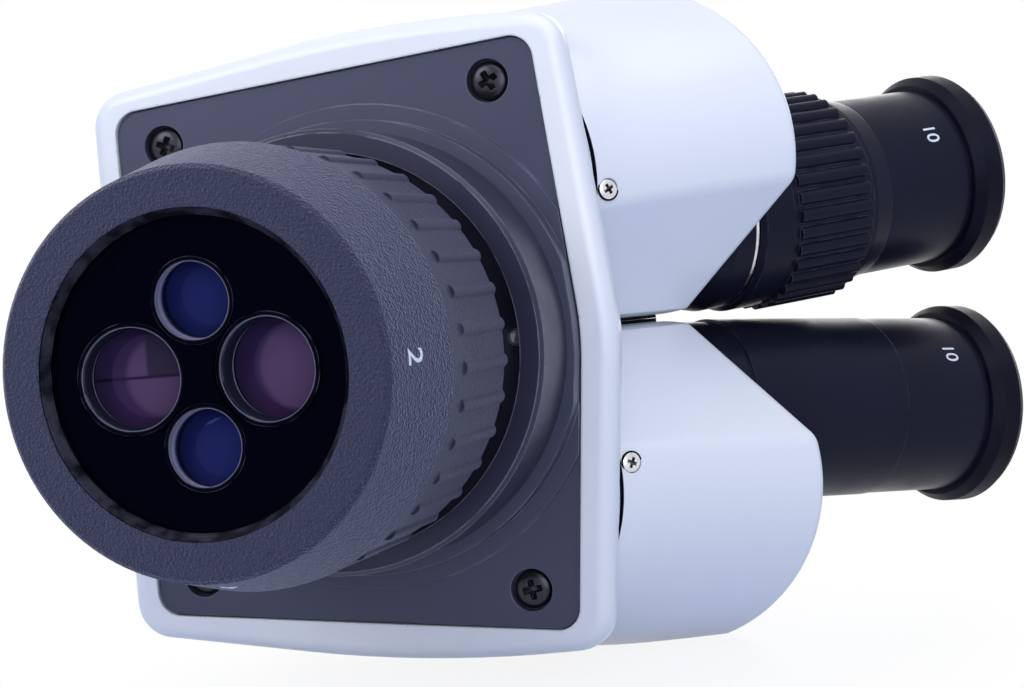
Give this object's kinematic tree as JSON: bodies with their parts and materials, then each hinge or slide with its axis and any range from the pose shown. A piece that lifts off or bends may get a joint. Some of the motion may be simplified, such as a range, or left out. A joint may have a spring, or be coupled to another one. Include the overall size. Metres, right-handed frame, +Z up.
{
  "type": "binocular microscope head",
  "caption": "Stereo microscope head: turret with paired objectives, round mounting collar, wedge body, swinging prism housings and inclined eye tubes with a dioptre ring.",
  "frame": {"origin": "on the turret axis, on the shoulder where a stand's ring seats", "axes": "+Z up along the turret axis toward the head, -Y toward the user, +X to the user's right"},
  "size_m": [0.1386, 0.1735, 0.2194],
  "materials": {
    "white_paint": "satin",
    "black_plate": "satin",
    "black_steel": "semi-gloss",
    "bright_steel": "bright",
    "grey_alloy": "machined",
    "brass": "machined",
    "wrinkle_black": "wrinkle finish",
    "gloss_black": "gloss",
    "satin_black": "satin anodised",
    "coated_glass_blue": "blue coated",
    "coated_glass_violet": "violet coated",
    "clear_glass": "polished",
    "black_rubber": "matt"
  },
  "bodies": {
    "head": {"body_casting": "white_paint", "base_plate": "black_plate", "base_plate_screws": "black_steel", "mounting_collar": "black_plate", "collar_screws": "bright_steel", "detent_ball": "bright_steel", "detent_band": "bright_steel", "prism_bracket": "grey_alloy", "left_turning_prism": "clear_glass", "right_turning_prism": "clear_glass"},
    "turret": {"turret_hub": "grey_alloy", "turret_retaining_ring": "brass", "turret_grip_ring": "wrinkle_black", "turret_sleeve": "wrinkle_black", "lens_plate": "gloss_black", "low_power_cells": "satin_black", "high_power_cells": "satin_black", "low_power_lenses": "coated_glass_blue", "high_power_lenses": "coated_glass_violet"},
    "right_side": {"right_pivot_sleeve": "black_steel", "right_pivot_nut": "brass", "right_spacing_gear": "grey_alloy", "right_prism_base": "satin_black", "right_prism_plate": "grey_alloy", "right_porro_prisms": "clear_glass", "right_housing": "white_paint", "right_housing_screw": "bright_steel", "right_tube": "satin_black"},
    "left_side": {"left_pivot_sleeve": "black_steel", "left_pivot_nut": "brass", "left_spacing_gear": "grey_alloy", "left_prism_base": "satin_black", "left_prism_plate": "grey_alloy", "left_porro_prisms": "clear_glass", "left_housing": "white_paint", "left_housing_screw": "bright_steel", "left_tube": "satin_black", "left_tube_nut": "satin_black", "left_bright_ring": "bright_steel"},
    "dioptre": {"dioptre_ring": "satin_black"},
    "carrier": {"eyepiece_carrier": "satin_black"},
    "right_eyepiece": {"right_eyepiece_barrel": "satin_black", "right_field_lens": "clear_glass", "right_field_stop": "satin_black", "right_eye_lens": "clear_glass", "right_eyecup": "black_rubber"},
    "left_eyepiece": {"left_eyepiece_barrel": "satin_black", "left_field_lens": "clear_glass", "left_field_stop": "satin_black", "left_eye_lens": "clear_glass", "left_eyecup": "black_rubber"}
  },
  "joints": [
    {"name": "turret_turn", "type": "hinge", "parent": "head", "child": "turret", "pos_m": [0, 0, -0.03], "axis": [0, 0, 1], "continuous": true},
    {"name": "right_swing", "type": "hinge", "parent": "head", "child": "right_side", "pos_m": [0.03183, -0.02189, 0.03453], "axis": [-0.0774, 0.705, -0.705], "range_deg": [0, 45]},
    {"name": "left_swing", "type": "hinge", "parent": "head", "child": "left_side", "pos_m": [-0.03183, -0.02189, 0.03453], "axis": [-0.0774, -0.705, 0.705], "range_deg": [0, 45]},
    {"name": "dioptre_turn", "type": "hinge", "parent": "left_side", "child": "dioptre", "pos_m": [-0.02313, -0.06565, 0.08819], "axis": [-0.0774, -0.705, 0.705], "range_deg": [-30, 170]},
    {"name": "carrier_lift", "type": "slide", "parent": "left_side", "child": "carrier", "axis": [-0.0774, -0.705, 0.705], "range_m": [-0.0006, 0.0034]},
    {"name": "right_eyepiece_pull", "type": "slide", "parent": "right_side", "child": "right_eyepiece", "axis": [0.0774, -0.705, 0.705], "range_m": [0, 0.03]},
    {"name": "left_eyepiece_pull", "type": "slide", "parent": "carrier", "child": "left_eyepiece", "axis": [-0.0774, -0.705, 0.705], "range_m": [0, 0.03]}
  ],
  "couplings": [
    {"joint": "left_swing", "follows": "right_swing", "ratio": 1},
    {"joint": "carrier_lift", "follows": "dioptre_turn", "m_per_rad": 0.0011459}
  ]
}
